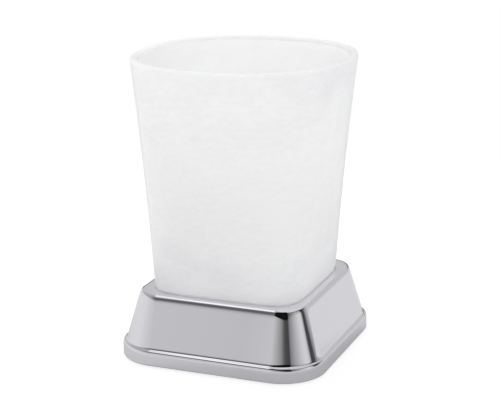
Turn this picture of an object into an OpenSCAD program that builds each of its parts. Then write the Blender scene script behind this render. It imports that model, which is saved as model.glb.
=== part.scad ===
// Bathroom tumbler: a frosted glass cup that stands in a chrome-plated square base.
// Millimetres. +Z is up, and the origin is on the table, under the middle of the base.

/* [Glass cup] */
// Height of the cup by itself
cup_h = 93; // [75:0.5:115]
// Width of the cup's foot, across its flats
cup_foot_w = 53.8; // [46:0.1:60]
// Width of the cup's rim, across its flats
cup_rim_w = 77.7; // [66:0.1:90]
// How far the middle of a wall draws in from a straight taper
cup_bow = 0.85; // [0:0.01:2]
// Squareness of the foot: 2 is a circle, and a larger value is squarer
foot_squareness = 6.7; // [4:0.1:10]
// Squareness of the rim: 2 is a circle, and a larger value is squarer
rim_squareness = 2.3; // [2:0.1:4]
// Wall thickness of the glass
cup_wall = 2.8; // [2:0.1:4]
// Thickness of the cup's floor
cup_floor = 6.5; // [4:0.5:12]
// Rounding outside, between the wall and the foot
foot_round = 3; // [1:0.5:5]
// Rounding inside, between the wall and the floor
floor_round = 5; // [2:0.5:8]
// Width of the ring that the cup stands on, around the hollow under its foot
stand_ring = 5; // [3:0.5:8]
// Depth of the hollow under the cup's foot
punt_depth = 0.6; // [0.3:0.1:1]

/* [Base shell] */
// Height of the base shell, from the underside of its flange to its top ledge
base_h = 24; // [20:0.1:32]
// Distance from the cup to the sharp top edge of the base, before that edge is rounded
ledge_w = 3.1; // [2.6:0.1:6]
// How far each side of the base spreads from its top edge down to the flange
base_flare = 5.6; // [3:0.1:9]
// Height of the flange around the foot of the base
flange_h = 5.7; // [4.4:0.1:8]
// How far the flange stands out from the sloping sides
flange_step = 1.3; // [1:0.1:3]
// Radius of the flange's corners, seen from above
corner_r = 15.8; // [12:0.1:20]
// Rounding of the top edge
top_round = 1.6; // [0.5:0.1:2.4]
// Rounding of the flange's upper edge
flange_round = 1.1; // [0.4:0.1:2]
// Rounding of the flange's lower edge
under_round = 0.6; // [0.3:0.1:1]
// Thickness of the shell's walls
shell_wall = 2.5; // [1.8:0.1:3]

/* [Seat of the cup] */
// Height of the cup's foot above the underside of the base shell
seat_rise = 13; // [11.5:0.5:16]
// Gap around the cup, to the opening in the ledge and to the collar
cup_gap = 0.25; // [0.2:0.05:0.6]
// Thickness of the lip that holds the collar down
lip_h = 1.5; // [1:0.1:2.5]
// Thickness of the soft collar around the cup
collar_t = 0.7; // [0.5:0.1:1.2]
// Clearance behind the collar, and above it
collar_gap = 0.2; // [0.1:0.05:0.3]
// Thickness of the soft pad under the cup
pad_t = 1.5; // [1:0.1:3]
// Clearance between the pad and the collar
pad_gap = 0.3; // [0.2:0.1:1]
// Thickness of the pocket's floor
pocket_floor = 2; // [1.5:0.1:3]
// Thickness of the pocket's wall, where it hangs free inside the shell
pocket_wall = 1.8; // [1.2:0.1:2.4]

/* [Underside] */
// Thickness of the bottom plate
plate_t = 2; // [1.8:0.1:3]
// How deep the plate lies inside the flange
plate_sink = 0.6; // [0.3:0.1:1]
// Clearance between the plate's edge and the flange
plate_gap = 0.3; // [0.2:0.05:0.5]
// Width of the flange's underside, outside the plate
plate_margin = 3.7; // [3:0.1:5]
// Width of the shoulder that the plate is screwed against
shoulder_w = 1.4; // [1:0.1:2.5]
// Distance from the plate's edge to the middle of a screw
screw_edge = 9.5; // [8:0.5:12]
// Diameter of the screw's shank
screw_d = 3; // [2.5:0.1:4]
// Length of a screw, with its head
screw_len = 8; // [6:0.5:8]
// Diameter of the countersunk head
head_d = 5.6; // [5:0.1:7]
// Height of the countersunk head
head_h = 1.5; // [1:0.1:1.6]
// Clearance around a screw, and past its tip
screw_gap = 0.05; // [0.02:0.01:0.1]
// Length of the taper at a screw's tip
screw_tip = 0.6; // [0.3:0.1:1]
// Outer diameter of a screw boss
boss_d = 7; // [6:0.5:8]
// Diameter of a foot
foot_d = 11; // [8:0.5:14]
// Thickness of a foot
foot_t = 2; // [1.6:0.1:3]
// Depth of the recess in the plate that a foot is glued into
foot_recess = 0.8; // [0.4:0.1:0.9]
// Chamfer around the bottom of a foot
foot_chamfer = 0.3; // [0.1:0.1:0.6]
// Distance from the plate's edges to the middle of a foot
foot_edge = 9.5; // [8.5:0.5:13]

/* [Hidden] */
$fn = 48;

// Overrun of the cuts
cut = 1;
// Width and depth of the cross in a screw's head
cross_w = 0.6;
cross_depth = 0.8;

// Points of a ring around the cup, levels of the cup's wall, and steps of a rounding
cup_points = 60;
wall_steps = 8;
round_steps = 4;
// Steps of the arc at each corner of the base
corner_steps = 8;
// Largest share of its ledge that the flange's rounding takes
round_share = 0.9;

// Heights, from the table up
plate_z = foot_t - foot_recess;
shell_z = plate_z - plate_sink;
plate_top_z = plate_z + plate_t;
flange_z = shell_z + flange_h;
ledge_z = shell_z + base_h;
cup_z = shell_z + seat_rise;
rim_z = cup_z + cup_h;
pocket_z = cup_z - pad_t;
lip_z = ledge_z - lip_h;

// Half widths of the base, from the ledge down and out
top_half = cup_half(ledge_z) + ledge_w;
skirt_half = top_half + base_flare;
flange_half = skirt_half + flange_step;
plate_half = flange_half - plate_margin - plate_gap;
cavity_half = plate_half - shoulder_w;
corner_c = flange_half - corner_r;
slope = atan(base_flare / (ledge_z - flange_z));

// Radial distances from the cup to the collar and to the pocket's wall
collar_in = cup_gap;
collar_out = collar_in + collar_t;
pocket_in = collar_out + collar_gap;

flange_edge_r = min(flange_round, flange_step * round_share);
screw_reach = plate_half - screw_edge;
foot_reach = plate_half - foot_edge;

// Share of the cup's height at which z lies
function cup_share(z) = (z - cup_z) / cup_h;

// Half the cup's outer width at the height z
function cup_half(z) =
    let (s = cup_share(z))
    cup_foot_w / 2 + (cup_rim_w - cup_foot_w) / 2 * s - 4 * cup_bow * s * (1 - s);

// Squareness of the cup at the height z: its inverse grows evenly from the foot to the rim
function squareness(z) =
    let (s = cup_share(z))
    1 / ((1 - s) / foot_squareness + s / rim_squareness);

// A ring of points around a rounded form between a square and a circle
function squircle(half, power) = [
    for (i = [0 : cup_points - 1])
        let (a = 360 * i / cup_points,
             r = half / pow(pow(abs(cos(a)), power) + pow(abs(sin(a)), power), 1 / power))
        [r * cos(a), r * sin(a)]];

// A ring of points around a square with round corners, whose corners share one middle
function round_square(half) = [
    for (q = [0 : 3], i = [0 : corner_steps])
        let (a = 90 * q + 90 * i / corner_steps,
             r = half - corner_c,
             sx = (q == 0 || q == 3) ? corner_c : -corner_c,
             sy = (q < 2) ? corner_c : -corner_c)
        [sx + r * cos(a), sy + r * sin(a)]];

function at_height(ring, z) = [for (p = ring) [p[0], p[1], z]];

// The cup's section at the height z, moved out by grow
function cup_ring(z, grow = 0) = at_height(squircle(cup_half(z) + grow, squareness(z)), z);

// The base's section with the given half width, at the height z
function base_ring(half, z) = at_height(round_square(half), z);

// The triangles between ring k and the next of a list of rings with n points each
function side_faces(k, n, rings) = [
    for (i = [0 : n - 1])
        let (a = k * n + i,
             b = k * n + (i + 1) % n,
             c = (a + n) % (n * rings),
             d = (b + n) % (n * rings))
        each [[a, d, b], [a, c, d]]];

// A solid through a list of level rings with equally many points, closed flat at both ends
module loft(rings) {
    n = len(rings[0]);
    last = len(rings) - 1;
    low = n * len(rings);
    high = low + 1;
    polyhedron(
        points = concat([for (ring = rings) each ring], [[0, 0, rings[0][0].z], [0, 0, rings[last][0].z]]),
        faces = concat(
            [for (i = [0 : n - 1]) [low, i, (i + 1) % n]],
            [for (k = [0 : last - 1]) each side_faces(k, n, last + 1)],
            [for (i = [0 : n - 1]) [high, last * n + (i + 1) % n, last * n + i]]),
        convexity = 8);
}

// A hollow solid through a list of rings with equally many points, whose last ring joins the first
module loft_around(rings) {
    n = len(rings[0]);
    polyhedron(
        points = [for (ring = rings) each ring],
        faces = [for (k = [0 : len(rings) - 1]) each side_faces(k, n, len(rings))],
        convexity = 8);
}

// Rings of the cup's outside, from the hollow under its foot up to the lip
function cup_outside() = concat(
    [cup_foot_ring(stand_ring + foot_round, punt_depth), cup_foot_ring(stand_ring + foot_round - punt_depth, 0)],
    [for (i = [0 : round_steps])
        let (a = 90 * i / round_steps)
        cup_foot_ring(foot_round * (1 - sin(a)), foot_round * (1 - cos(a)))],
    [for (i = [1 : wall_steps]) cup_ring(cup_z + foot_round + wall_h(foot_round) * i / wall_steps)]);

// A ring near the foot, drawn in from the cup's wall and raised above the foot
function cup_foot_ring(draw_in, raised) = cup_ring(cup_z + raised, -draw_in);

// Height of the plain wall between a rounding at its foot and the lip
function wall_h(below) = cup_h - below - cup_wall / 2;

// Rings of the rounded lip, from the outside over to the inside
function cup_lip() = [
    for (i = [1 : 2 * round_steps - 1])
        let (a = 90 * i / round_steps,
             r = cup_wall / 2,
             z = rim_z - r + r * sin(a))
        cup_ring(z, r * cos(a) - r)];

// Rings of the inside, from the lip down to the floor
function cup_inside() =
    let (start = cup_floor + floor_round)
    concat(
        [for (i = [wall_steps : -1 : 1]) cup_ring(cup_z + start + wall_h(start) * i / wall_steps, -cup_wall)],
        [for (i = [0 : round_steps])
            let (a = 90 * i / round_steps)
            cup_ring(cup_z + start - floor_round * sin(a), -cup_wall - floor_round * (1 - cos(a)))]);

module glass_cup() {
    color("whitesmoke")
        loft(concat(cup_outside(), cup_lip(), cup_inside()));
}

// Rings of the base's outside, from the flange's underside up to the ledge
function base_outside() = concat(
    [for (i = [0 : round_steps])
        let (a = 90 * i / round_steps)
        base_ring(flange_half - under_round * (1 - sin(a)), shell_z + under_round * (1 - cos(a)))],
    [for (i = [0 : round_steps])
        let (a = 90 * i / round_steps)
        base_ring(flange_half - flange_edge_r * (1 - cos(a)), flange_z - flange_edge_r * (1 - sin(a)))],
    [base_ring(skirt_half, flange_z)],
    [for (i = [0 : round_steps])
        let (a = slope + (90 - slope) * i / round_steps,
             flat_half = top_half - top_round * tan((90 - slope) / 2))
        base_ring(flat_half + top_round * cos(a), ledge_z - top_round * (1 - sin(a)))]);

// Half width of the hollow inside the shell at the height z, under the sloping wall
function hollow_half(z) = top_half + (ledge_z - z) * tan(slope) - shell_wall / cos(slope);

// The hollow under the shell: upright above the plate's shoulder, then along the sloping wall
module shell_hollow() {
    ceiling_z = ledge_z - shell_wall;
    bend_z = ledge_z - (cavity_half + shell_wall / cos(slope) - top_half) / tan(slope);
    loft([
        base_ring(cavity_half, plate_top_z - cut),
        base_ring(cavity_half, bend_z),
        base_ring(hollow_half(ceiling_z), ceiling_z)]);
}

// The pocket for the pad, the collar and the cup's foot, and the narrower opening above it
module pocket() {
    loft([
        cup_ring(pocket_z, pocket_in),
        cup_ring(lip_z, pocket_in),
        cup_ring(lip_z, cup_gap),
        cup_ring(ledge_z + cut, cup_gap)]);
}

// The pocket with its walls and floor around it, as it hangs inside the shell
module pocket_block() {
    grow = pocket_in + pocket_wall;
    loft([cup_ring(pocket_z - pocket_floor, grow), cup_ring(ledge_z, grow)]);
}

module at_screws() {
    for (a = [0 : 90 : 270])
        rotate([0, 0, a]) translate([screw_reach, 0, 0]) children();
}

module base_shell() {
    color("silver") difference() {
        loft(base_outside());
        difference() {
            shell_hollow();
            pocket_block();
            at_screws() translate([0, 0, plate_top_z])
                cylinder(d = boss_d, h = pocket_z - plate_top_z);
        }
        pocket();
        translate([0, 0, shell_z - cut])
            linear_extrude(plate_top_z - shell_z + cut) polygon(round_square(plate_half + plate_gap));
        at_screws() translate([0, 0, plate_z])
            cylinder(r = screw_d / 2 + screw_gap, h = screw_len + screw_gap);
    }
}

module seat_collar() {
    top_z = lip_z - collar_gap;
    color("gainsboro") loft_around([
        cup_ring(pocket_z, collar_out),
        cup_ring(top_z, collar_out),
        cup_ring(top_z, collar_in),
        cup_ring(pocket_z, collar_in)]);
}

module seat_pad() {
    pad_half = cup_half(pocket_z) + collar_in - pad_gap;
    color("dimgray") translate([0, 0, pocket_z])
        linear_extrude(pad_t) polygon(squircle(pad_half, squareness(pocket_z)));
}

module at_feet(sx, sy) {
    translate([sx * foot_reach, sy * foot_reach, 0]) children();
}

// The hole for a countersunk screw, from below the plate to above it
module screw_hole() {
    head_r = head_d / 2 + screw_gap;
    shank_r = screw_d / 2 + screw_gap;
    rotate_extrude() polygon([
        [0, -cut], [head_r, -cut], [head_r, 0], [shank_r, head_h], [shank_r, plate_t + cut], [0, plate_t + cut]]);
}

module bottom_plate() {
    color("gray") difference() {
        translate([0, 0, plate_z])
            linear_extrude(plate_t) polygon(round_square(plate_half));
        at_screws() translate([0, 0, plate_z]) screw_hole();
        for (sx = [-1, 1], sy = [-1, 1])
            at_feet(sx, sy) translate([0, 0, plate_z - cut])
                cylinder(d = foot_d + 2 * plate_gap, h = foot_recess + cut);
    }
}

// One countersunk screw with a cross in its head, pointing up
module screw() {
    r = screw_d / 2;
    difference() {
        rotate_extrude() polygon([
            [0, 0], [head_d / 2, 0], [r, head_h], [r, screw_len - screw_tip], [r - screw_tip, screw_len],
            [0, screw_len]]);
        for (a = [0, 90])
            rotate([0, 0, a]) translate([0, 0, cross_depth / 2 - cut / 2])
                cube([screw_d, cross_w, cross_depth + cut], center = true);
    }
}

module plate_screws() {
    color("darkgray") at_screws() translate([0, 0, plate_z]) screw();
}

module foot(sx, sy) {
    r = foot_d / 2;
    color("#303030") at_feet(sx, sy) rotate_extrude()
        polygon([[0, 0], [r - foot_chamfer, 0], [r, foot_chamfer], [r, foot_t], [0, foot_t]]);
}

module foot_front_left() { foot(-1, -1); }
module foot_front_right() { foot(1, -1); }
module foot_back_left() { foot(-1, 1); }
module foot_back_right() { foot(1, 1); }

glass_cup();
base_shell();
seat_collar();
seat_pad();
bottom_plate();
plate_screws();
foot_front_left();
foot_front_right();
foot_back_left();
foot_back_right();
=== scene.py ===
import math

import bpy
import numpy as np
from mathutils import Matrix, Vector


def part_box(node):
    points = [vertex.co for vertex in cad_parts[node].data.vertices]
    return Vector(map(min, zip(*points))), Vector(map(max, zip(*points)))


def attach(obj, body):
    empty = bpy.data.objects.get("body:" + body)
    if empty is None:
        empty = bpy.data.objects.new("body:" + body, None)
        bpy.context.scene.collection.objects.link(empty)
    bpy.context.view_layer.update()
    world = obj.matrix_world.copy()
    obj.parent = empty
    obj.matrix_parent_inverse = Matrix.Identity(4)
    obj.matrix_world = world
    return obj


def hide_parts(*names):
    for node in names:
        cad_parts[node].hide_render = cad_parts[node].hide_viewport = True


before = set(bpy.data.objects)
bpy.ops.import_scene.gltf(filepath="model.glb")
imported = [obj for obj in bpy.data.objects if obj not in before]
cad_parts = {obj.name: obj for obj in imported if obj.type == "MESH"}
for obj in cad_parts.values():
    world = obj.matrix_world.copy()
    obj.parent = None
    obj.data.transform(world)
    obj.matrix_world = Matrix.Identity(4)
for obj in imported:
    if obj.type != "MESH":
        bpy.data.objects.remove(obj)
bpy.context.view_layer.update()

MM = 0.001

# Cup, in millimetres: half widths across the flats, and squareness from 2, a circle, upwards
CUP_FOOT_HALF = 26.9
CUP_RIM_HALF = 38.83
CUP_BOW = 0.85
FOOT_SQUARENESS = 6.7
RIM_SQUARENESS = 2.3
CUP_WALL = 2.8
CUP_FLOOR = 6.5
FOOT_ROUND = 3.0
FLOOR_ROUND = 5.0
STAND_RING = 5.0
PUNT_DEPTH = 0.6

# Base shell, in millimetres
LEDGE_W = 3.1
BASE_FLARE = 5.6
FLANGE_H = 5.5
FLANGE_STEP = 1.3
CORNER_R = 15.8
# How far the flange's top edge rounds off, inwards and down
FLANGE_ROUND_IN = 0.65
FLANGE_ROUND_DOWN = 2.0
UNDER_ROUND = 0.6
REBATE_ROUND = 0.15
# How far the opening's lip stands from the glass, and the rounding of its edge
OPENING_GAP = 0.08
OPENING_ROUND = 0.05
# How far the soft blends reach from their sharp corners: the top one down the slope and in on the ledge,
# the one above the flange up the slope
TOP_BLEND_DOWN = 4.2
TOP_BLEND_IN = 1.6
FOOT_BLEND_UP = 2.1

# Seat and underside, in millimetres
CUP_GAP = 0.25
LIP_H = 1.5
COLLAR_T = 0.7
COLLAR_GAP = 0.2
PAD_T = 1.5
PAD_GAP = 0.3
PAD_ROUND = 0.3
POCKET_FLOOR = 2.0
PLATE_GAP = 0.3
PLATE_MARGIN = 3.7
SHOULDER_W = 1.4

# Points around the cup, and steps along each corner and each side of the base
CUP_STATIONS = 240
CORNER_STEPS = 28
SIDE_STEPS = 24
# Rings along the cup's wall, outside and inside, and along the collar's
OUTSIDE_RINGS = 48
INSIDE_RINGS = 44
COLLAR_RINGS = 6
# Steps of each rounding and each blend; the smallest roundings share one count
FOOT_STEPS = 10
LIP_STEPS = 20
FLOOR_STEPS = 12
UNDER_STEPS = 8
FLANGE_STEPS = 16
OPENING_STEPS = 5
SMALL_STEPS = 4
FOOT_BLEND_STEPS = 14
TOP_BLEND_STEPS = 24
# Distance from the end of a long straight stretch to the extra point that keeps its shading flat
SUPPORT = 0.25
LONG_STRETCH = 4 * SUPPORT

# Heights from the table, in millimetres, taken from the frame
cup_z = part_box("glass_cup")[0].z / MM
rim_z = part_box("glass_cup")[1].z / MM
shell_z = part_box("base_shell")[0].z / MM
ledge_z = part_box("base_shell")[1].z / MM
flange_z = shell_z + FLANGE_H
pocket_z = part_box("seat_pad")[0].z / MM
plate_top_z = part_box("bottom_plate")[1].z / MM
lip_z = ledge_z - LIP_H
cup_h = rim_z - cup_z


def cup_half(z):
    """Half the cup's outer width at the height z."""
    s = (z - cup_z) / cup_h
    return CUP_FOOT_HALF + (CUP_RIM_HALF - CUP_FOOT_HALF) * s - 4 * CUP_BOW * s * (1 - s)


def squareness(z):
    """Squareness of the cup at the height z: its inverse grows evenly from the foot to the rim."""
    s = (z - cup_z) / cup_h
    return 1 / ((1 - s) / FOOT_SQUARENESS + s / RIM_SQUARENESS)


# Half widths of the base, in millimetres
top_half = cup_half(ledge_z) + LEDGE_W
skirt_half = top_half + BASE_FLARE
flange_half = skirt_half + FLANGE_STEP
rebate_half = flange_half - PLATE_MARGIN
cavity_half = rebate_half - PLATE_GAP - SHOULDER_W
corner_c = flange_half - CORNER_R
slope = math.atan(BASE_FLARE / (ledge_z - flange_z))


# Outlines and lofts

def squircle(half, power, angles):
    """Points at the given angles around a form between a square and a circle."""
    c, s = np.cos(angles), np.sin(angles)
    r = half / (np.abs(c) ** power + np.abs(s) ** power) ** (1 / power)
    return np.column_stack([r * c, r * s])


def round_square(half):
    """Points around a square with round corners whose middles lie at corner_c."""
    r = half - corner_c
    arc = np.linspace(0, math.pi / 2, CORNER_STEPS + 1)
    run = np.linspace(corner_c, -corner_c, SIDE_STEPS + 1)[1:-1]
    side = np.concatenate([[corner_c - SUPPORT], run, [SUPPORT - corner_c]])
    corner = np.column_stack([corner_c + r * np.cos(arc), corner_c + r * np.sin(arc)])
    edge = np.column_stack([side, np.full(len(side), half)])
    quarter = np.vstack([corner, edge])
    turns = [np.array([[c, s], [-s, c]]) for c, s in ((1, 0), (0, 1), (-1, 0), (0, -1))]
    return np.vstack([quarter @ turn for turn in turns])


def at_height(points, z):
    return np.column_stack([points, np.full(len(points), z)])


def arc_steps(start, end, steps):
    """Angles in radians from start to end, both in degrees, with both ends."""
    return np.radians(np.linspace(start, end, steps + 1))


def loft(name, rings, around=False):
    """A mesh through a list of rings. around joins the last ring to the first. Otherwise both ends are
    capped, and the faces come in the order first cap, rings, last cap."""
    n = len(rings[0])
    points = np.vstack(rings)
    count = len(rings)
    index = np.arange(n)
    following = (index + 1) % n
    bands = [
        np.column_stack([low + index, low + following, high + following, high + index])
        for low, high in ((k * n, (k + 1) % count * n) for k in range(count if around else count - 1))
    ]
    faces = [face for band in bands for face in band.tolist()]
    if not around:
        first, last, top = len(points), len(points) + 1, (count - 1) * n
        points = np.vstack([points, rings[0].mean(axis=0), rings[-1].mean(axis=0)])
        first_cap = np.column_stack([np.full(n, first), following, index]).tolist()
        last_cap = np.column_stack([np.full(n, last), top + index, top + following]).tolist()
        faces = first_cap + faces + last_cap
    mesh = bpy.data.meshes.new(name)
    mesh.from_pydata((points * MM).tolist(), [], faces)
    mesh.validate()
    mesh.shade_smooth()
    piece = bpy.data.objects.new(name, mesh)
    bpy.context.scene.collection.objects.link(piece)
    return piece


def supported(profile):
    """The profile's points, with an extra one near both ends of each long straight stretch."""
    out = [profile[0]]
    for before, after in zip(profile, profile[1:]):
        a, b = np.array(before), np.array(after)
        length = np.linalg.norm(b - a)
        if length > LONG_STRETCH:
            step = (b - a) * SUPPORT / length
            out += [tuple(a + step), tuple(b - step)]
        out.append(after)
    return out


def rounding(centre_half, centre_z, radius, start, end, steps):
    """Profile points on an arc around a point of the section, by the direction they face."""
    return [
        (centre_half + radius * math.cos(a), centre_z + radius * math.sin(a))
        for a in arc_steps(start, end, steps)
    ]


def soft_blend(start, corner, end, steps):
    """Profile points on a curve that leaves the corner's sides at start and end without a visible break."""
    start, corner, end = (np.array(p) for p in (start, corner, end))
    return [
        tuple(corner + (1 - t) ** 3 * (start - corner) + t ** 3 * (end - corner))
        for t in np.linspace(0, 1, steps + 1)
    ]


# Glass cup

cup_angles = np.linspace(0, 2 * math.pi, CUP_STATIONS, endpoint=False)


def cup_ring(z, grow=0.0, angles=cup_angles):
    """The cup's section at the height z, moved out by grow."""
    return at_height(squircle(cup_half(z) + grow, squareness(z), angles), z)


def make_cup():
    """The cup, from the hollow under its foot up the outside, over the lip and down to its floor."""
    foot = [
        cup_ring(cup_z + PUNT_DEPTH, -(STAND_RING + FOOT_ROUND)),
        cup_ring(cup_z, PUNT_DEPTH - STAND_RING - FOOT_ROUND),
    ]
    foot += [
        cup_ring(cup_z + FOOT_ROUND * (1 - math.cos(a)), -FOOT_ROUND * (1 - math.sin(a)))
        for a in arc_steps(0, 90, FOOT_STEPS)
    ]
    lip_r = CUP_WALL / 2
    floor_z = cup_z + CUP_FLOOR
    outside = [cup_ring(z) for z in np.linspace(cup_z + FOOT_ROUND, rim_z - lip_r, OUTSIDE_RINGS)[1:]]
    lip = [
        cup_ring(rim_z - lip_r * (1 - math.sin(a)), lip_r * (math.cos(a) - 1))
        for a in arc_steps(0, 180, LIP_STEPS)[1:-1]
    ]
    wall = np.linspace(rim_z - lip_r, floor_z + FLOOR_ROUND, INSIDE_RINGS)[:-1]
    inside = [cup_ring(z, -CUP_WALL) for z in wall]
    inside += [
        cup_ring(floor_z + FLOOR_ROUND * (1 - math.sin(a)), -CUP_WALL - FLOOR_ROUND * (1 - math.cos(a)))
        for a in arc_steps(0, 90, FLOOR_STEPS)
    ]
    cup = loft("cup", foot + outside + lip + inside)
    outer_bands = 1 + len(foot + outside + lip)
    for face in cup.data.polygons[outer_bands * CUP_STATIONS:]:
        face.material_index = 1
    return cup


# Base shell, collar and pad

def shell_outside():
    """Profile from the hollow above the plate, around the flange and up to the cup's opening."""
    up = np.array([-math.sin(slope), math.cos(slope)])
    foot, top = np.array([skirt_half, flange_z]), np.array([top_half, ledge_z])
    profile = [(cavity_half, pocket_z - POCKET_FLOOR)]
    profile += [(half, plate_top_z) for half in (cavity_half, rebate_half)]
    for half, r, start, end, steps in (
        (rebate_half + REBATE_ROUND, REBATE_ROUND, 180, 270, SMALL_STEPS),
        (flange_half - UNDER_ROUND, UNDER_ROUND, 270, 360, UNDER_STEPS),
    ):
        profile += rounding(half, shell_z + r, r, start, end, steps)
    profile += [
        (
            flange_half - FLANGE_ROUND_IN * (1 - math.cos(a)),
            flange_z - FLANGE_ROUND_DOWN * (1 - math.sin(a)),
        )
        for a in arc_steps(0, 90, FLANGE_STEPS)
    ]
    flange_top = (flange_half - FLANGE_ROUND_IN, flange_z)
    profile += soft_blend(flange_top, foot, foot + FOOT_BLEND_UP * up, FOOT_BLEND_STEPS)[1:]
    profile += soft_blend(top - TOP_BLEND_DOWN * up, top, top - (TOP_BLEND_IN, 0), TOP_BLEND_STEPS)
    return supported(profile)


def make_shell():
    """The shell's outside, the opening's lip and the pocket down to its floor. The hollow under the floor
    is plain, because the bottom plate closes it."""
    rings = [at_height(round_square(half), z) for half, z in shell_outside()]
    last = rings[-1]
    angles = np.arctan2(last[:, 1], last[:, 0])
    r = OPENING_ROUND
    rings += [
        cup_ring(ledge_z - r * (1 - math.sin(a)), OPENING_GAP + r * (1 - math.cos(a)), angles)
        for a in arc_steps(90, 0, OPENING_STEPS)
    ]
    pocket_grow = CUP_GAP + COLLAR_T + COLLAR_GAP
    rings += [
        cup_ring(lip_z, OPENING_GAP, angles),
        cup_ring(lip_z, pocket_grow, angles),
        cup_ring(pocket_z, pocket_grow, angles),
    ]
    return loft("base_casting", rings)


def make_collar():
    """The ring between the cup's foot and the pocket's wall."""
    outer = CUP_GAP + COLLAR_T
    heights = np.linspace(pocket_z, lip_z - COLLAR_GAP, COLLAR_RINGS)
    rings = [cup_ring(z, outer) for z in heights] + [cup_ring(z, CUP_GAP) for z in heights[::-1]]
    return loft("collar", rings, around=True)


def make_pad():
    """The pad under the cup, with rounded edges."""
    half = cup_half(pocket_z) + CUP_GAP - PAD_GAP
    power = squareness(pocket_z)
    top_z = pocket_z + PAD_T
    section = rounding(half - PAD_ROUND, pocket_z + PAD_ROUND, PAD_ROUND, 270, 360, SMALL_STEPS)
    section += rounding(half - PAD_ROUND, top_z - PAD_ROUND, PAD_ROUND, 0, 90, SMALL_STEPS)
    return loft("pad", [at_height(squircle(h, power, cup_angles), z) for h, z in section])


# Nodes

# The middle range of a noise value
NOISE_RANGE = (0.3, 0.7)


def grey(level):
    return (level, level, level)


class Paint:
    """The nodes of a material or of the world, and the shader that they feed. Each value is a number,
    a colour or the output of another node."""

    def __init__(self, tree, shader):
        self.nodes = tree.nodes
        self.links = tree.links
        self.shader = tree.nodes[shader]

    def feed(self, socket, value):
        if isinstance(value, bpy.types.NodeSocket):
            self.links.new(value, socket)
        elif socket.type == "RGBA":
            socket.default_value = (*value, 1)
        else:
            socket.default_value = value

    def set(self, name, value):
        self.feed(self.shader.inputs[name], value)

    def place(self, kind):
        """The point being shaded, as Object or Generated coordinates."""
        return self.nodes.new("ShaderNodeTexCoord").outputs[kind]

    def axes(self, kind):
        """The x, y and z of that point."""
        node = self.nodes.new("ShaderNodeSeparateXYZ")
        self.links.new(self.place(kind), node.inputs[0])
        return node.outputs

    def noise(self, scale, detail, stretch=(1, 1, 1)):
        """A noise value in object space; scale is in cells per metre."""
        mapping = self.nodes.new("ShaderNodeMapping")
        texture = self.nodes.new("ShaderNodeTexNoise")
        self.links.new(self.place("Object"), mapping.inputs["Vector"])
        self.feed(mapping.inputs["Scale"], stretch)
        self.links.new(mapping.outputs["Vector"], texture.inputs["Vector"])
        self.feed(texture.inputs["Scale"], scale)
        self.feed(texture.inputs["Detail"], detail)
        return texture.outputs["Fac"]

    def spread(self, value, low, high):
        """Maps the middle range of a noise value onto low to high."""
        node = self.nodes.new("ShaderNodeMapRange")
        names = ("Value", "From Min", "From Max", "To Min", "To Max")
        for name, given in zip(names, (value, *NOISE_RANGE, low, high)):
            self.feed(node.inputs[name], given)
        return node.outputs["Result"]

    def step(self, value, start, end, smooth=True):
        """0 before start and 1 past end."""
        node = self.nodes.new("ShaderNodeMapRange")
        node.interpolation_type = "SMOOTHSTEP" if smooth else "LINEAR"
        for name, given in zip(("Value", "From Min", "From Max"), (value, start, end)):
            self.feed(node.inputs[name], given)
        return node.outputs["Result"]

    def math(self, operation, *values):
        node = self.nodes.new("ShaderNodeMath")
        node.operation = operation
        for socket, value in zip(node.inputs, values):
            self.feed(socket, value)
        return node.outputs[0]

    def mix(self, factor, low, high, blend="MIX"):
        """A colour between low and high. The node takes them in sockets 6 and 7 and gives it in 2."""
        node = self.nodes.new("ShaderNodeMix")
        node.data_type = "RGBA"
        node.blend_type = blend
        for index, value in ((0, factor), (6, low), (7, high)):
            self.feed(node.inputs[index], value)
        return node.outputs[2]

    def ramp(self, place, stops):
        """A grey level by place, from 0 to 1, through the given (place, level) stops."""
        node = self.nodes.new("ShaderNodeValToRGB")
        elements = node.color_ramp.elements
        elements.remove(elements[1])
        elements[0].position = stops[0][0]
        elements[0].color = (*grey(stops[0][1]), 1)
        for at, level in stops[1:]:
            elements.new(at).color = (*grey(level), 1)
        self.feed(node.inputs[0], place)
        return node.outputs[0]

    def bump(self, height, distance):
        """A surface that the height value raises by up to the distance, in metres."""
        node = self.nodes.new("ShaderNodeBump")
        self.feed(node.inputs["Height"], height)
        self.feed(node.inputs["Distance"], distance)
        return node.outputs["Normal"]

    def light_path(self):
        return self.nodes.new("ShaderNodeLightPath").outputs

    def seen_plain(self, path):
        """1 for what the camera sees by itself or through glass, and 0 for light and reflections."""
        return self.math("MAXIMUM", path["Is Camera Ray"], path["Is Transmission Ray"])


def new_material(name):
    """A material and its Paint."""
    material = bpy.data.materials.new(name)
    material.use_nodes = True
    return material, Paint(material.node_tree, "Principled BSDF")


def dress(thing, *materials):
    """Gives the object these materials. Only filled slots are cleared, because that also sends each face
    back to the first slot."""
    slots = thing.data.materials
    if slots:
        slots.clear()
    for material in materials:
        slots.append(material)


# Materials

# Pairs of colours that each surface drifts between, and the glass's colours at a grazing view, a painted
# edge shade
GLASS_OUTSIDE = ((0.845, 0.847, 0.866), (0.98, 0.982, 0.998))
GLASS_OUTSIDE_EDGE_SHADE = (0.66, 0.67, 0.69)
# The inside's colours, paler than the outside's, are painted light inside the cup
GLASS_INSIDE = ((0.905, 0.907, 0.92), (0.99, 0.992, 1.0))
GLASS_INSIDE_EDGE_SHADE = (0.8, 0.81, 0.82)
CHROME = ((0.843, 0.836, 0.877), (0.858, 0.851, 0.892))
MILKY_PLASTIC = ((0.8, 0.81, 0.82), (0.86, 0.87, 0.88))
PLATED_STEEL = ((0.5, 0.51, 0.53), (0.66, 0.67, 0.68))
PAD_RUBBER = ((0.24, 0.25, 0.26), (0.3, 0.31, 0.32))
FOOT_RUBBER = ((0.09, 0.09, 0.097), (0.13, 0.13, 0.14))

# Shares of a grazing view between which the glass takes on its edge colour, a painted edge shade
GRAZE_STEP = (0.64, 1.0)
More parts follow.
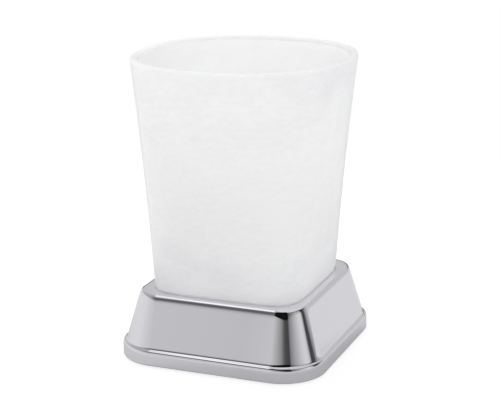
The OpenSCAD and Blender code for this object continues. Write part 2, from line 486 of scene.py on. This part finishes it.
# How pale the glass is painted by share of its height, as painted shade and light: greyer at the foot and
# just under the lip, paler in the middle
GLASS_PAINTED_SHADING = [
    (0.1, 0.95), (0.13, 0.92), (0.15, 0.87), (0.2, 0.865), (0.27, 0.92), (0.36, 1.03), (0.45, 1.08),
    (0.55, 1.07), (0.65, 1.015), (0.75, 0.97), (0.87, 0.94), (0.93, 0.905), (0.96, 0.885), (0.988, 0.85),
    (0.996, 0.87), (1.0, 0.87),
]
# Of the glass's clouding, the share that the broad clouds make; the fine ones make the rest
BROAD_SHARE = 0.65
# At the foot light soaks only this share as far into the glass. The distance grows to its full length
# between these shares of the height.
FOOT_HAZE = 0.1
HAZE_STEP = (0.1, 0.35)
# How much paler or greyer the glass is painted towards +X and -X for each whole height away from even_at:
# painted light on one side and painted shade on the other
PAINTED_SIDE_LIGHT = 0.18


def milk_glass(name, haze, colours, edge, even_at):
    """Etched glass that light soaks through for the distance haze, with painted shade and light by height
    and painted edge shade at a grazing view. Towards +X it has painted light below the share even_at of its
    height and painted shade above."""
    material, paint = new_material(name)
    broad = paint.spread(paint.noise(scale=40, detail=2, stretch=(1, 1, 1.8)), 0, BROAD_SHARE)
    fine = paint.spread(paint.noise(scale=350, detail=6, stretch=(1, 1, 2.2)), 0, 1 - BROAD_SHARE)
    colour = paint.mix(paint.math("ADD", broad, fine), *colours)
    x, _, z = paint.axes("Object")
    share = paint.math("MULTIPLY_ADD", z, 1 / (cup_h * MM), -cup_z / cup_h)
    # Painted shade and light by share of the height
    colour = paint.mix(1.0, colour, paint.ramp(share, GLASS_PAINTED_SHADING), "MULTIPLY")
    # Painted side light: paler towards +X below even_at and greyer above it
    side = paint.math("MULTIPLY", x, PAINTED_SIDE_LIGHT / (CUP_RIM_HALF * MM))
    side_light = paint.math("MULTIPLY", side, paint.math("SUBTRACT", even_at, share))
    colour = paint.mix(1.0, colour, paint.math("ADD", side_light, 1.0), "MULTIPLY")
    facing = paint.nodes.new("ShaderNodeLayerWeight").outputs["Facing"]
    # Painted edge shade: the edge colour at a grazing view
    paint.set("Base Color", paint.mix(paint.step(facing, *GRAZE_STEP), colour, edge))
    paint.set("Roughness", paint.spread(paint.noise(scale=120, detail=3), 0.5, 0.6))
    paint.set("IOR", 1.5)
    paint.set("Subsurface Weight", 1.0)
    paint.set("Subsurface Radius", (1, 1, 1))
    above_foot = paint.step(share, *HAZE_STEP)
    depth = paint.math("MULTIPLY_ADD", above_foot, (1 - FOOT_HAZE) * haze, FOOT_HAZE * haze)
    paint.set("Subsurface Scale", depth)
    paint.set("Normal", paint.bump(paint.noise(scale=2500, detail=2), distance=0.00002))
    return material


def chrome():
    """Polished plating with the faintest waviness."""
    material, paint = new_material("chrome")
    paint.set("Metallic", 1.0)
    paint.set("Base Color", paint.mix(paint.noise(scale=60, detail=3), *CHROME))
    paint.set("Roughness", paint.spread(paint.noise(scale=90, detail=4), 0.02, 0.04))
    paint.set("Normal", paint.bump(paint.noise(scale=35, detail=1), distance=0.000004))
    return material


def rubber(name, colours, grain):
    """Matt rubber with the given number of grains per metre."""
    material, paint = new_material(name)
    paint.set("Base Color", paint.mix(paint.noise(scale=grain, detail=4), *colours))
    paint.set("Roughness", paint.spread(paint.noise(scale=grain / 4, detail=2), 0.75, 0.9))
    paint.set("Normal", paint.bump(paint.noise(scale=grain, detail=3), distance=0.00005))
    return material


def milky_plastic():
    material, paint = new_material("milky_plastic")
    paint.set("Base Color", paint.mix(paint.noise(scale=200, detail=2), *MILKY_PLASTIC))
    paint.set("Roughness", paint.spread(paint.noise(scale=400, detail=2), 0.35, 0.5))
    paint.set("Subsurface Weight", 0.2)
    paint.set("Subsurface Scale", 0.001)
    return material


def plated_steel(name, stretch):
    """Zinc-plated steel with a fine rolled grain, drawn out along the axis where stretch is small."""
    material, paint = new_material(name)
    grain = paint.noise(scale=1500, detail=3, stretch=stretch)
    paint.set("Metallic", 1.0)
    paint.set("Base Color", paint.mix(grain, *PLATED_STEEL))
    paint.set("Roughness", paint.spread(paint.noise(scale=300, detail=3), 0.32, 0.48))
    paint.set("Normal", paint.bump(grain, distance=0.00001))
    return material


# Studio

WHITE = (1, 1, 1)
# The soft light at the horizon and straight above
SOFT_HORIZON = 1.08
SOFT_ZENITH = 0.65

# What polished metal sees around it, as shares of white: rows of soft boxes and dark screens, by compass
# degrees from +X, low down, higher up and just under the overhead light
LOW_BANDS = [
    (-180, 0.78), (-158, 0.78), (-138, 0.7), (-119, 0.635), (-112, 0.595), (-110.6, 0.565), (-110, 0.63),
    (-103, 0.61), (-75, 0.295), (-67, 0.14), (-62, 0.08), (-50, 0.06), (-46, 0.24), (-33, 0.41), (-6, 0.71),
    (3, 0.72), (9, 0.62), (13, 0.36), (16, 0.06), (27, 0.07), (33, 0.28), (40, 0.42), (58, 0.6), (70, 0.58),
    (79, 0.12), (106, 0.12), (112, 0.6), (115, 0.6), (119, 0.12), (125, 0.12), (131, 0.72), (180, 0.78),
]
HIGH_BANDS = [
    (-180, 0.47), (-160, 0.45), (-140, 0.37), (-124, 0.18), (-116, 0.13), (-105, 0.13), (-102, 0.006),
    (-49, 0.006), (-46, 0.1), (-30, 0.3), (-20, 0.45), (6, 0.5), (13, 0.05), (30, 0.05), (52, 0.4),
    (64, 0.6), (110, 0.62), (140, 0.54), (180, 0.47),
]
GAP_BANDS = [
    (-180, 0.45), (-140, 0.37), (-124, 0.18), (-105, 0.12), (-102, 0.006), (-49, 0.006), (-46, 0.1),
    (12, 0.1), (16, 0.04), (36, 0.04), (50, 0.2), (60, 0.5), (110, 0.62), (180, 0.45),
]
# The overhead light, by how far a direction leans from -X to +X
OVERHEAD_BANDS = [
    (-1, 0.48), (-0.46, 0.48), (-0.38, 1.16), (-0.29, 1.16), (-0.26, 0.5), (-0.2, 0.5), (-0.1, 0.72),
    (1, 0.72),
]
# The ground past the floor
GROUND = 0.84
# Heights in degrees between which each row gives way to the next
GROUND_STEP = (-2.0, -6.5)
PLAIN_STEP = (11.5, 19.5)
GAP_STEP = (26.0, 34.0)
PLAIN_OVERHEAD = (31.0, 50.0)
# The same at the front corner, where the high row falls between these levels to a black screen, whose
# lower edge rises by CORNER_RISE for each degree below CORNER_AT
CORNER_LEVELS = (0.08, 0.02)
CORNER_STEP = (13.4, 13.95)
CORNER_OVERHEAD = (44.0, 62.0)
CORNER_AT = -60
CORNER_RISE = 0.05


def studio_world():
    """White to the camera and through glass; soft boxes with dark gaps between them in polished metal."""
    world = bpy.data.worlds.new("studio")
    bpy.context.scene.world = world
    world.use_nodes = True
    paint = Paint(world.node_tree, "Background")
    x, y, z = paint.axes("Generated")
    turn = paint.math("MULTIPLY_ADD", paint.math("ARCTAN2", y, x), 0.5 / math.pi, 0.5)
    up = paint.math("MULTIPLY", paint.math("ARCSINE", z), 180 / math.pi)

    def bands(table, place=turn, half=180):
        return paint.ramp(place, [((at + half) / (2 * half), level) for at, level in table])

    low, high, gap = bands(LOW_BANDS), bands(HIGH_BANDS), bands(GAP_BANDS)
    overhead = bands(OVERHEAD_BANDS, paint.math("MULTIPLY_ADD", x, 0.5, 0.5), 1)
    corner = paint.step(high, *CORNER_LEVELS)
    past_corner = paint.math("MULTIPLY_ADD", turn, -360, 180 + CORNER_AT)
    screen_rise = paint.math("MULTIPLY", paint.math("MAXIMUM", past_corner, 0), CORNER_RISE)
    above_screen = paint.math("SUBTRACT", up, screen_rise)

    def step(plain_stops, corner_stops, corner_height):
        return paint.mix(corner, paint.step(up, *plain_stops), paint.step(corner_height, *corner_stops))

    banded = paint.mix(paint.step(up, *GROUND_STEP, smooth=False), low, grey(GROUND))
    banded = paint.mix(step(PLAIN_STEP, CORNER_STEP, above_screen), banded, high)
    banded = paint.mix(paint.step(up, *GAP_STEP), banded, gap)
    banded = paint.mix(step(PLAIN_OVERHEAD, CORNER_OVERHEAD, up), banded, overhead)
    soft = paint.mix(paint.math("MAXIMUM", z, 0), grey(SOFT_HORIZON), grey(SOFT_ZENITH))
    path = paint.light_path()
    # The bands are for reflections alone, and not for light that a matt surface has scattered before
    undiffused = paint.math("LESS_THAN", path["Diffuse Depth"], 0.5)
    mirrored = paint.math("MULTIPLY", path["Is Glossy Ray"], undiffused)
    light = paint.mix(mirrored, soft, banded)
    paint.set("Color", paint.mix(paint.seen_plain(path), light, WHITE))


FLOOR_RADIUS = 0.3
FLOOR_POINTS = 96
# To the camera the floor is this share of a glow of this strength, over its own lit surface
FLOOR_GLOW_SHARE = 0.75
FLOOR_GLOW = 1.1
# How pale the floor is, and how pale it shows in polished metal near the object, with a painted shadow, and
# far off, with the distances from the middle between which the one gives way to the other, in metres
FLOOR_SHADE = 0.95
NEAR_FLOOR_PAINTED_SHADOW = 0.67
FLOOR_IN_METAL = 0.76
FLOOR_STEP = (0.05, 0.1)


def studio_floor():
    """A pale floor that keeps the object's shadow and shows as white to the camera."""
    rim = [
        (FLOOR_RADIUS * math.cos(a), FLOOR_RADIUS * math.sin(a), 0)
        for a in np.linspace(0, 2 * math.pi, FLOOR_POINTS, endpoint=False)
    ]
    mesh = bpy.data.meshes.new("floor")
    mesh.from_pydata(rim, [], [list(range(len(rim)))])
    floor = bpy.data.objects.new("floor", mesh)
    bpy.context.scene.collection.objects.link(floor)
    material, paint = new_material("floor")
    path = paint.light_path()
    distance = paint.nodes.new("ShaderNodeVectorMath")
    distance.operation = "LENGTH"
    paint.feed(distance.inputs[0], paint.place("Object"))
    # Painted shadow: in polished metal the floor shows darker near the middle
    away = paint.step(distance.outputs["Value"], *FLOOR_STEP)
    in_metal = paint.mix(away, grey(NEAR_FLOOR_PAINTED_SHADOW), grey(FLOOR_IN_METAL))
    paint.set("Base Color", paint.mix(path["Is Glossy Ray"], grey(FLOOR_SHADE), in_metal))
    paint.set("Roughness", 1.0)
    paint.set("Specular IOR Level", 0.0)
    glow = paint.nodes.new("ShaderNodeEmission")
    paint.feed(glow.inputs["Strength"], FLOOR_GLOW)
    both = paint.nodes.new("ShaderNodeMixShader")
    glow_share = paint.math("MULTIPLY", paint.seen_plain(path), FLOOR_GLOW_SHARE)
    for socket, value in zip(both.inputs, (glow_share, paint.shader.outputs[0], glow.outputs[0])):
        paint.feed(socket, value)
    paint.feed(paint.nodes["Material Output"].inputs["Surface"], both.outputs[0])
    dress(floor, material)


def soft_lamp(name, place, size, watts):
    """A round lamp that faces the origin and doesn't show in polished metal."""
    data = bpy.data.lights.new(name, "AREA")
    data.shape = "DISK"
    data.size = size
    data.energy = watts
    lamp = bpy.data.objects.new(name, data)
    lamp.location = place
    lamp.rotation_euler = (-Vector(place)).to_track_quat("-Z", "Y").to_euler()
    lamp.visible_glossy = False
    bpy.context.scene.collection.objects.link(lamp)


# Camera, from the outlines in the photograph: metres, degrees and pixels, and millimetres for the sensor
IMAGE_W = 500
FOCAL_PX = 1495.0
SENSOR_WIDTH = 36
CAMERA_AZIMUTH = 21.9
CAMERA_ELEVATION = 16.06
CAMERA_ROLL = -0.54
CAMERA_DISTANCE = 0.5371
# The point it aims at: to the camera's right of the origin, and above the table
AIM_RIGHT = 0.00129
AIM_Z = 0.04958


def make_camera():
    a, e, roll = (math.radians(v) for v in (CAMERA_AZIMUTH, CAMERA_ELEVATION, CAMERA_ROLL))
    back = Vector((math.sin(a) * math.cos(e), -math.cos(a) * math.cos(e), math.sin(e)))
    right = Vector((math.cos(a), math.sin(a), 0))
    up = back.cross(right)
    right, up = right * math.cos(roll) + up * math.sin(roll), up * math.cos(roll) - right * math.sin(roll)
    aim = Vector((math.cos(a) * AIM_RIGHT, math.sin(a) * AIM_RIGHT, AIM_Z))
    data = bpy.data.cameras.new("camera")
    data.sensor_width = SENSOR_WIDTH
    data.sensor_fit = "HORIZONTAL"
    data.lens = FOCAL_PX / IMAGE_W * SENSOR_WIDTH
    camera = bpy.data.objects.new("camera", data)
    place = Matrix.Translation(aim + back * CAMERA_DISTANCE)
    camera.matrix_world = place @ Matrix((right, up, back)).transposed().to_4x4()
    bpy.context.scene.collection.objects.link(camera)
    bpy.context.scene.camera = camera


# Assembly

make_camera()
studio_world()
studio_floor()
soft_lamp("key", place=(-0.5, 0.4, 1.1), size=0.8, watts=4)

cup = make_cup()
outer_glass = milk_glass(
    "frosted_glass", haze=0.01, colours=GLASS_OUTSIDE, edge=GLASS_OUTSIDE_EDGE_SHADE, even_at=0.6
)
# Inside, even_at lies above the rim, so the painted side light is paler towards +X at every height
inner_glass = milk_glass(
    "inner_glass", haze=0.028, colours=GLASS_INSIDE, edge=GLASS_INSIDE_EDGE_SHADE, even_at=2.2
)
dress(cup, outer_glass, inner_glass)
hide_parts("glass_cup")
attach(cup, "cup")

shell = make_shell()
dress(shell, chrome())
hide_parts("base_shell")
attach(shell, "base")

collar = make_collar()
dress(collar, milky_plastic())
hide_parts("seat_collar")
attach(collar, "base")

pad = make_pad()
dress(pad, rubber("pad_rubber", PAD_RUBBER, grain=900))
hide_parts("seat_pad")
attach(pad, "base")

foot_rubber = rubber("foot_rubber", FOOT_RUBBER, grain=1200)
for node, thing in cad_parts.items():
    if node.startswith("foot_"):
        dress(thing, foot_rubber)
dress(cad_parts["bottom_plate"], plated_steel("plate_steel", stretch=(0.05, 1, 1)))
dress(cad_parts["plate_screws"], plated_steel("screw_steel", stretch=(1, 1, 1)))

scene = bpy.context.scene
scene.view_settings.view_transform = "Standard"
